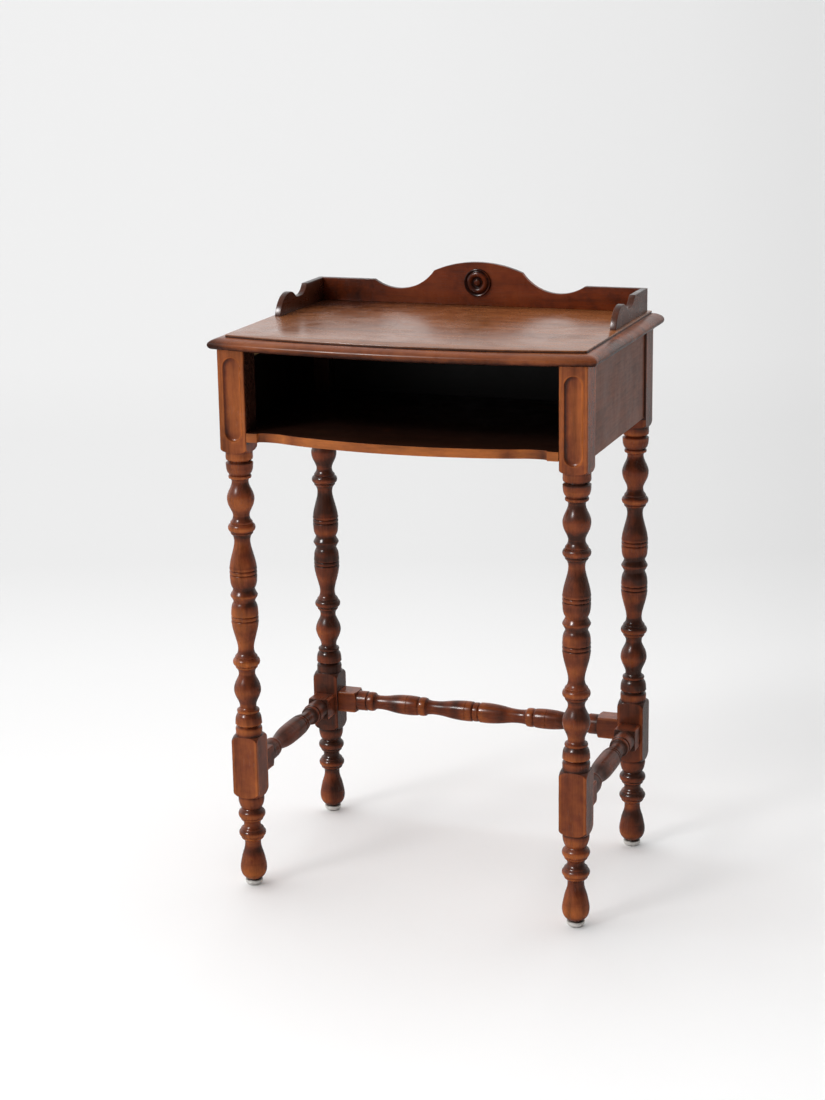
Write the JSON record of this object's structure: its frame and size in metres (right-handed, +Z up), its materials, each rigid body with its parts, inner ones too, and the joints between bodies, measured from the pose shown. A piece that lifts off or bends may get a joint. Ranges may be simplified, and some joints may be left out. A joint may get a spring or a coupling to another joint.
{
  "type": "telephone stand",
  "caption": "Small wooden stand with turned legs and stretchers, a bow-fronted top with a back gallery, and an open compartment under the top.",
  "frame": {"origin": "on the floor, under the middle of the width and depth of the whole stand", "axes": "+X to the right of a person who faces the open front, +Y to the back, +Z up"},
  "size_m": [0.52, 0.3714, 0.822],
  "materials": {
    "top": "reddish-brown stain under satin varnish",
    "gallery": "deep red-brown stain under satin varnish",
    "leg": "deep red-brown stain under satin varnish, worn lighter on its full parts",
    "stretcher": "deep red-brown stain under satin varnish",
    "panel": "brown stain under satin varnish",
    "shelf": "reddish-brown stain under satin varnish",
    "hidden": "bare, unfinished",
    "glide": "nickel plate, lightly worn",
    "screw": "plain"
  },
  "bodies": {
    "root": {"back_gallery": "gallery", "back_panel": "panel", "back_stretcher": "stretcher", "cleat_screw_left_1": "screw", "cleat_screw_left_2": "screw", "cleat_screw_left_3": "screw", "cleat_screw_right_1": "screw", "cleat_screw_right_2": "screw", "cleat_screw_right_3": "screw", "dowel_back_left": "hidden", "dowel_back_right": "hidden", "dowel_front_left": "hidden", "dowel_front_right": "hidden", "glide_back_left": "glide", "glide_back_right": "glide", "glide_front_left": "glide", "glide_front_right": "glide", "leg_back_left": "leg", "leg_back_right": "leg", "leg_front_left": "leg", "leg_front_right": "leg", "rosette": "gallery", "shelf": "shelf", "side_gallery_left": "gallery", "side_gallery_right": "gallery", "side_panel_left": "panel", "side_panel_right": "panel", "side_stretcher_left": "stretcher", "side_stretcher_right": "stretcher", "top_board": "top", "top_cleat_left": "hidden", "top_cleat_right": "hidden"}
  },
  "joints": []
}
